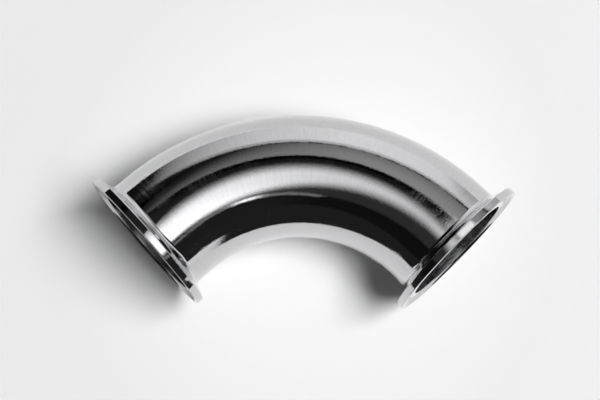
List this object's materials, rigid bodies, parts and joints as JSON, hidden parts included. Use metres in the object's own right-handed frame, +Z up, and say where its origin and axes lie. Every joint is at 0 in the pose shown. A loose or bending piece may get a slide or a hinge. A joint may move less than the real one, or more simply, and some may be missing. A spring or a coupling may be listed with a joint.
{
  "type": "sanitary ninety degree elbow",
  "caption": "Polished stainless steel tube elbow that turns a line through a right angle, with a clamp ferrule welded to each end.",
  "frame": {"origin": "on the surface that the elbow lies on, at the centre of its footprint box", "axes": "+Z up from the surface; +X across the elbow, from the left ferrule to the right one; both ports open towards -Y, 45 degrees to each side of it, and the back of the bend is at +Y. The mirror plane is x = 0"},
  "size_m": [0.1706, 0.079, 0.0635],
  "materials": {
    "polished_tube": "polished nearly to a mirror, with fine brushing round the tube",
    "turned_ferrule": "turned and polished, with fine rings round its own axis"
  },
  "bodies": {
    "root": {"elbow_tube": "polished_tube", "left_ferrule": "turned_ferrule", "right_ferrule": "turned_ferrule"}
  },
  "joints": []
}
